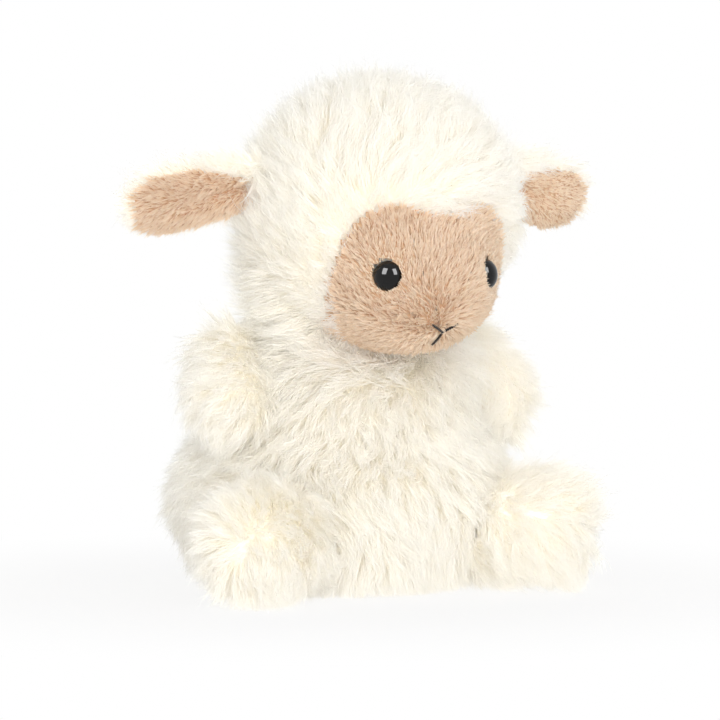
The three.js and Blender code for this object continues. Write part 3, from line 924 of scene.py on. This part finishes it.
def lathe(name, profile, origin, axis, sides, material, body):
    """A profile of (radius, height) points turned about an axis through origin."""
    across = unit(np.cross(axis, [0.0, 0.0, 1.0]))
    other = np.cross(axis, across)
    turn = np.linspace(0, 2 * math.pi, sides + 1)
    around = np.cos(turn)[:, None] * across + np.sin(turn)[:, None] * other
    profile = np.array(profile, float)
    points = origin + profile[:, :1, None] * around + profile[:, 1:, None] * axis
    return mesh_object(name, points.reshape(-1, 3), grid_faces(len(profile), sides + 1), material, body)


def safety_eye(side, name):
    """A polished dome with a rounded rim: a quarter ellipse from the pole, then a small round back to the
    flat."""
    middle, out = EYES[side]
    quarter = math.pi / 2
    dome = [(EYE_RADIUS * math.sin(t), DOME_HEIGHT * math.cos(t)) for t in np.linspace(0, quarter, 20)]
    flat = EYE_RADIUS - EYE_RIM
    rim = [(flat + EYE_RIM * math.cos(t), -EYE_RIM * math.sin(t)) for t in np.linspace(0.3, quarter, 5)]
    profile = dome + rim + [(0, -EYE_RIM)]
    origin = middle - EYE_SUNK * out
    piece = lathe(f"eye_dome_{name}", profile, origin, out, 64, EYE_PLASTIC, "head")
    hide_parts(f"eye_{name}")


for side, name in SIDES:
    safety_eye(side, name)

# %% [markdown]
# Nose and mouth are three single stitches of embroidery thread, pulled into the pile so far that it half
# covers them. Each is two strands laid round each other, because at this size the twist is what tells a
# thread from a wire.

# %% Threads
NOSE_ENDS = ((0.2, -29.6), (7.0, -27.0))  # degrees from straight ahead, and mm from the head's centre
MOUTH_ENDS = ((0.0, -29.6), (0.0, -33.4))
STRAND_RADIUS = 0.23
STRAND_OFFSET = 0.18
TWIST_PITCH = 1.3
STRAND_SIDES = 8


def thread_path(ends, side, sink, points=28):
    """A stitch's middle line, sink mm below the pile's surface, and the ways out of the face along it."""
    azimuth, height = np.linspace(*np.array(ends), points).T
    azimuth = np.radians(side * azimuth)
    return on_face(azimuth, height, FACE_SET_BACK + sink), face_out(azimuth, height)


def strand(path, out, phase):
    """A tube round a helix. Its middle is path + 0.18 (n cos φ + o sin φ), where o is out, n is square to
    it and to the path, and φ turns once in 1.3 mm. It closes at both ends, as (1 - |2t - 1|^6)^(1/2)
    does."""
    tangents = unit(np.gradient(path, axis=0))
    o = unit(out - dot(out, tangents)[:, None] * tangents)
    n = np.cross(tangents, o)
    run = np.append(0, np.cumsum(np.linalg.norm(np.diff(path, axis=0), axis=1)))
    angle = (2 * math.pi * run / TWIST_PITCH + phase)[:, None]
    middle = path + STRAND_OFFSET * (n * np.cos(angle) + o * np.sin(angle))
    swell = np.sqrt(1 - np.abs(2 * np.linspace(0, 1, len(path)) - 1) ** 6)[:, None, None]
    turn = np.linspace(0, 2 * math.pi, STRAND_SIDES + 1)[:, None]
    return middle[:, None] + STRAND_RADIUS * swell * (n[:, None] * np.cos(turn) + o[:, None] * np.sin(turn))


def stitch(name, ends, side, sink):
    """Two strands, half a turn apart, in the place of the CAD's thread."""
    path, out = thread_path(ends, side, sink)
    points = np.concatenate([strand(path, out, phase).reshape(-1, 3) for phase in (0, math.pi)])
    faces = grid_faces(len(path), STRAND_SIDES + 1)
    faces = np.concatenate([faces, faces + len(points) // 2])
    piece = mesh_object(f"{name}_strands", points, faces, THREAD, "head")
    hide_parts(name)
    return path


stitch("nose_stitch_left", NOSE_ENDS, 1, sink=1.1)
SHALLOW_STITCHES = np.concatenate(
    [
        stitch("nose_stitch_right", NOSE_ENDS, -1, sink=0.1),
        stitch("mouth_stitch", MOUTH_ENDS, 1, sink=0.6),
    ]
)
print("shallow stitches from", SHALLOW_STITCHES.min(0).round(1), "to", SHALLOW_STITCHES.max(0).round(1))


def from_stitch(points):
    """How far points are from the nearest thread that presses the pile down."""
    return np.linalg.norm(points[..., None, :] - SHALLOW_STITCHES[::4], axis=-1).min(-1)


# %% [markdown]
# The head. Its long pile is brushed away from the nose, so it stands like rays round the face, and hangs
# a little at the back. Where the two fabrics meet, the long pile is rooted deeper and trimmed, so that
# the tan face stays open.

# %% Head
NOSE = on_face(0.0, -30.0)
SOCKET = 20.0
SEAM_INSET = 7.2
SEAM_SLOPE = 8.0
SEAM_ALLOWANCE = 2.5  # how far the face's cloth goes on past the edge
TAN_OVERLAP = 0.8  # how far its last roots do


def off_socket(points):
    return np.linalg.norm(points - NECK, axis=-1) > SOCKET


def head_inset(points):
    """The long-pile cloth lies deeper towards the face's edge, where it is sewn under the face's
    cloth."""
    return SEAM_INSET + (FLEECE_INSET - SEAM_INSET) * ease(past_face_edge(points), 0, SEAM_SLOPE)


def head_trim(roots):
    """Half length at the face's edge and full 8 mm past it. Up to 0.6 more low down, away from that edge,
    where it hangs over the neck."""
    low = ease(HEAD.centre[2] - roots[..., 2], 4, 22) * ease(past_face_edge(roots), 6, 16)
    return 0.5 + 0.5 * ease(past_face_edge(roots), -1, SEAM_SLOPE) + 0.6 * low


def from_face(points):
    """Brushed away from the nose, and further down the further back."""
    down = 0.3 + 0.7 * ease(points[..., 1], HEAD.centre[1], HEAD.centre[1] + 30)
    return 1.4 * unit(points - NOSE) - down[..., None] * np.array([0.0, 0.0, 1.0])


def from_nose(points):
    """Brushed away from the nose, and standing up in the 2.5 mm round it."""
    away = points - NOSE
    return 1.4 * away / np.maximum(np.linalg.norm(away, axis=-1, keepdims=True), 2.5)


def face_trim(roots):
    """None under the eye, a third beside it, and full length 5 mm from its rim. Also shorter under the
    threads."""
    beside = from_eye(roots) - EYE_RADIUS
    pressed = 0.55 + 0.45 * ease(from_stitch(roots), 2.0, 3.2)
    return np.where(beside < -0.1, 0, np.clip(0.35 + 0.65 * beside / 5, 0.35, 1)) * pressed


def off_eye(points):
    return from_eye(points) > EYE_RADIUS - 1


for side, name in SIDES:
    half = on_side(0, side)
    fur = both(half, lambda p: past_face_edge(p) > 0, off_socket)
    cloth_panel(f"head_cloth_{name}", HEAD, head_inset, fur, CREAM_BACKING, "head", f"head_side_{name}")
    for part, sign in (("front", -1), ("back", 1)):
        keep = both(fur, on_side(1, sign, HEAD.centre[1]))
        seed = 10 + side + 3 * sign
        grow(f"head_fleece_{part}_{name}", HEAD, head_inset, keep, from_face, FLEECE, "head", seed, head_trim)
    cheek = both(half, lambda p: past_bridge_edge(p) > 0)
    keep = both(cheek, lambda p: past_face_edge(p) < SEAM_ALLOWANCE, off_eye)
    node = f"cheek_{name}"
    cloth_panel(f"cheek_cloth_{name}", HEAD, FACE_INSET, keep, TAN_BACKING, "head", node, (120, 70))
    keep = both(cheek, lambda p: past_face_edge(p) < TAN_OVERLAP)
    grow(f"cheek_pile_{name}", HEAD, FACE_INSET, keep, from_nose, SHORT, "head", 20 + side, face_trim)
bridge = both(lambda p: past_bridge_edge(p) <= 0, off_eye)
keep = both(bridge, lambda p: past_face_edge(p) < SEAM_ALLOWANCE)
cloth_panel("bridge_cloth", HEAD, FACE_INSET, keep, TAN_BACKING, "head", "face_bridge", (160, 80))
keep = both(bridge, lambda p: past_face_edge(p) < TAN_OVERLAP)
grow("bridge_pile", HEAD, FACE_INSET, keep, from_nose, SHORT, "head", 30, face_trim)

# %% [markdown]
# The body is four panels of the same long-pile cloth: a flat seat, a belly and two halves of the back.
# The coat is brushed downwards and a little outwards. A real one is longest where the head's weight parts
# it, so it is longer on the shoulders here. The neck's collar needs its hole, and nothing grows under the
# head, where it would come out of the cheeks.

# %% Body
def down_body(points):
    """Brushed down, and outwards a little."""
    away = points - np.array([0, 0, 45.0])
    return np.array([0, 0, -1.2]) + 0.4 * unit(away * np.array([1, 1, 0]))


def body_trim(roots):
    """Longer on the shoulders, where it fills the space under the head, and less so behind."""
    return 1 + (0.8 - 0.5 * ease(roots[..., 1], -5, 15)) * ease(roots[..., 2], 56, 68)


BURIED = 5.0  # further than this inside the head's wall nothing grows
COLLAR_HOLE = 17.0


def below_head(points):
    beside_neck = np.hypot(points[..., 0] - NECK[0], points[..., 1] - NECK[1]) > COLLAR_HOLE
    return (HEAD.outside(points) > -BURIED) & beside_neck


SEAT_TOP = 4.5
LOWEST_ROOT = 2.0
off_seat = on_side(2, 1, SEAT_TOP)
cloth_panel("seat_cloth", BODY, FLEECE_INSET, on_side(2, -1, SEAT_TOP), CREAM_BACKING, "root", "seat_panel")
keep = both(on_side(1, -1), off_seat, below_head)
cloth_panel("belly_cloth", BODY, FLEECE_INSET, keep, CREAM_BACKING, "root", "belly_panel")
for side, name in SIDES:
    keep = both(on_side(1, 1), on_side(0, side), off_seat, below_head)
    cloth_panel(f"back_cloth_{name}", BODY, FLEECE_INSET, keep, CREAM_BACKING, "root", f"back_panel_{name}")
    for part, sign in (("belly", -1), ("back", 1)):
        keep = both(on_side(0, side), on_side(1, sign), on_side(2, 1, LOWEST_ROOT), below_head)
        seed = 40 + side + 3 * sign
        grow(f"{part}_fleece_{name}", BODY, FLEECE_INSET, keep, down_body, FLEECE, "root", seed, body_trim)

# %% [markdown]
# Arms and legs are stuffed tubes with round ends. An arm's coat hangs down and outwards. A leg's is
# brushed from the seam towards the foot, and on the sole it parts like the crown of a head: it stands up
# in the very middle and turns away all round. Where a limb's form dips into the body nothing grows, and
# the body's own coat covers the seam.

# %% Arms and legs
WHORL = 2.0  # mm from the middle of a sole to where its pile lies down
LOWEST_ROOT_ON_LIMB = 1.0
SEAM_DIP = 3.0  # further than this inside the body's wall no limb has cloth or pile


def limb_flow(form, whorl, down):
    """Brushed along the limb and down. Over its round end, from 0.55 to 0.95 of its length, a share of it
    turns away from the end's middle."""
    end = form.end - 4 * form.axis

    def flow(points):
        away = points - end
        across = away - dot(away, form.axis)[..., None] * form.axis
        across = across / np.maximum(np.linalg.norm(across, axis=-1, keepdims=True), WHORL)
        share = whorl * ease(form.along(points), 0.55, 0.95)[..., None]
        return 1.3 * ((1 - share) * form.axis + share * across) + np.array([0, 0, -down])

    return flow


def arm_flow(form):
    """Brushed down and outwards, and a little along the arm, the same way everywhere. Such a flow has no
    tangent only where it points straight into the form or out of it: below, and at the top of the
    shoulder, under the head."""
    outwards = unit((form.start + form.end) * np.array([1, 1, 0]))
    way = 0.6 * form.axis + 0.6 * outwards - np.array([0, 0, 1.1])
    return lambda points: np.broadcast_to(way, points.shape)


def limb_trim(form):
    """Longer at the seam, where it bridges the dip between the limb and the body."""
    return lambda roots: 1.15 - 0.15 * ease(form.along(roots), 0.1, 0.45)


def off_body(points):
    return BODY.outside(points) > -SEAM_DIP


LIMBS = (
    ("arm", "shoulder", ARM_TIP, ARM_RADII, ARM_RUN_IN),
    ("leg", "hip", LEG_TIP, LEG_RADII, LEG_RUN_IN),
)
for kind, joint, tip, radii, run_in in LIMBS:
    for side, name in SIDES:
        form = seamed_limb(f"{joint}_{name}", mirrored(tip, side), radii, run_in)
        body = f"{kind}_{name}"
        cloth, node = f"{kind}_cloth_{name}", f"{kind}_skin_{name}"
        cloth_panel(cloth, form, FLEECE_INSET, off_body, CREAM_BACKING, body, node, (56, 40))
        keep = both(off_body, on_side(2, 1, LOWEST_ROOT_ON_LIMB))
        if kind == "arm":
            flow, pile = arm_flow(form), ARM_FLEECE
        else:
            flow, pile = limb_flow(form, whorl=0.85, down=0.6), LIMB_FLEECE
        fleece, trim = f"{kind}_fleece_{name}", limb_trim(form)
        grow(fleece, form, FLEECE_INSET, keep, flow, pile, body, 50 + side, trim)

# %% [markdown]
# The ears. Each is two leaves sewn edge to edge: a long-pile back, whose fringe comes round the edge, and
# a tan lining, which is a little smaller, narrows towards the root and has a crease where the ear was
# pinched for sewing.

# %% Ears
EAR_TIP = (75, 15, 4.5)
EAR_RADII = (9.2, 11.5)
EAR_FACING = (0, -0.9, -0.42)
EAR_SHARE = 5.5 / 11.5
CREASE_DEPTH = 3.2
CREASE_WIDTH = 0.2  # of the ear's half width
LINING_ALONG = (0.03, 0.15, 0.3, 0.5, 0.8, 0.96)  # of the ear's length
LINING_TOP = (0.1, 0.3, 0.62, 0.92, 0.9, 0.5)  # of its half width, above the axis and below it
LINING_LOW = (0.3, 0.7, 0.9, 0.96, 0.92, 0.5)


class Ear(Limb):
    """A limb with a crease down the front: moved in by 3.2 mm times exp(-(aside/0.2)²), fading out along
    it."""

    def creased(self, points):
        """How creased the ear is there, from 0 to 1."""
        return (1 - ease(self.along(points), 0.3, 0.75)) * np.exp(-((self.aside(points) / CREASE_WIDTH) ** 2))

    def place(self, a, b, inset=0.0):
        points = super().place(a, b, inset)
        in_front = dot(points - self.start, self.depth) > 0
        return points - CREASE_DEPTH * (self.creased(points) * in_front)[..., None] * self.depth


def lining_room(form):
    """The tan leaf: pinched at the root, round at the tip, and a little short of the ear's edge."""

    def test(points):
        along, aside = form.along(points), form.aside(points)
        top = np.interp(along, LINING_ALONG, LINING_TOP)
        low = np.interp(along, LINING_ALONG, LINING_LOW)
        in_front = dot(points - form.start, form.depth) > 0
        return in_front & (aside < top) & (aside > -low) & (along < LINING_ALONG[-1])

    return test


def ear_flow(form):
    """Brushed from the root to the tip, and out towards both edges."""
    return lambda p: form.axis + np.clip(0.8 * form.aside(p), -0.35, 0.7)[..., None] * form.across


def ear_trim(form):
    """The fringe is shorter along the ear's lower edge, and a little at its tip."""
    return lambda p: (0.5 + 0.5 * ease(form.aside(p), -0.9, 0.2)) * (1 - 0.3 * ease(form.along(p), 0.75, 1.0))


def off_head(points):
    return HEAD.outside(points) > -BURIED


for side, name in SIDES:
    tip = HEAD.centre + mirrored(EAR_TIP, side)
    form = Ear(JOINTS[f"ear_flap_{name}"], tip, EAR_RADII, EAR_FACING, EAR_SHARE)
    lining = both(lining_room(form), off_head)
    back = both(lambda p, inner=lining_room(form): ~inner(p), off_head)
    for part, keep, cloth, pile, trim in (
        ("lining", lining, TAN_BACKING, SHORT, lambda p, form=form: 1 - 0.5 * form.creased(p)),
        ("back", back, CREAM_BACKING, EAR_FLEECE, ear_trim(form)),
    ):
        node = f"ear_{part}_{name}"
        ear = f"ear_{name}"
        cloth_panel(f"ear_{part}_cloth_{name}", form, EAR_INSET, keep, cloth, ear, node, (64, 48))
        grow(f"ear_{part}_pile_{name}", form, EAR_INSET, keep, ear_flow(form), pile, ear, 60 + side, trim)

# %% [markdown]
# The neck is a short collar of the body's cloth that shows only when the head turns, so its coat is thin.
# The tail is a small stuffed tube like a short arm.

# %% Neck and tail
COLLAR_INSET = 2.0
COLLAR_LOW, COLLAR_HIGH = 69, 84
COLLAR_UP, COLLAR_DOWN = 14.0, 22.0  # how far its form runs into the head and into the body
COLLAR_RADII = (18, 18)
TAIL_INSET = 3.5
TAIL_TIP = (0, 57, 14)
TAIL_RADII = (7, 8)
COLLAR_FLEECE = replace(FLEECE, density=1.5, width=0.4)
NECK_FORM = Limb(NECK + np.array([0, 0, COLLAR_UP]), NECK - np.array([0, 0, COLLAR_DOWN]), COLLAR_RADII)
around = both(on_side(2, 1, COLLAR_LOW), on_side(2, -1, COLLAR_HIGH))
cloth_panel("neck_cloth", NECK_FORM, COLLAR_INSET, around, CREAM_BACKING, "neck", "neck_collar", (56, 40))
grow("neck_fleece", NECK_FORM, COLLAR_INSET, around, down_body, COLLAR_FLEECE, "neck", 70)
TAIL_FORM = Limb(JOINTS["tail_wag"], TAIL_TIP, TAIL_RADII, facing=(1, 0, 0))
cloth_panel("tail_cloth", TAIL_FORM, TAIL_INSET, off_body, CREAM_BACKING, "tail", "tail", (40, 24))
flow = limb_flow(TAIL_FORM, whorl=0.8, down=0.3)
grow("tail_fleece", TAIL_FORM, TAIL_INSET, off_body, flow, EAR_FLEECE, "tail", 71)

# %% [markdown]
# The stuffing, the pouch of pellets and the washers keep their CAD solids. Their shapes are right as they
# are, and each only gets its finish.

# %% What is inside
INSIDE = {"stuffing": FILLING, "pouch": POUCH_COTTON, "washer": WASHER_PLASTIC}
for node_name, node in frame["nodes"].items():
    for word, material in INSIDE.items():
        if word in node_name:
            node.data.materials.clear()
            node.data.materials.append(material)
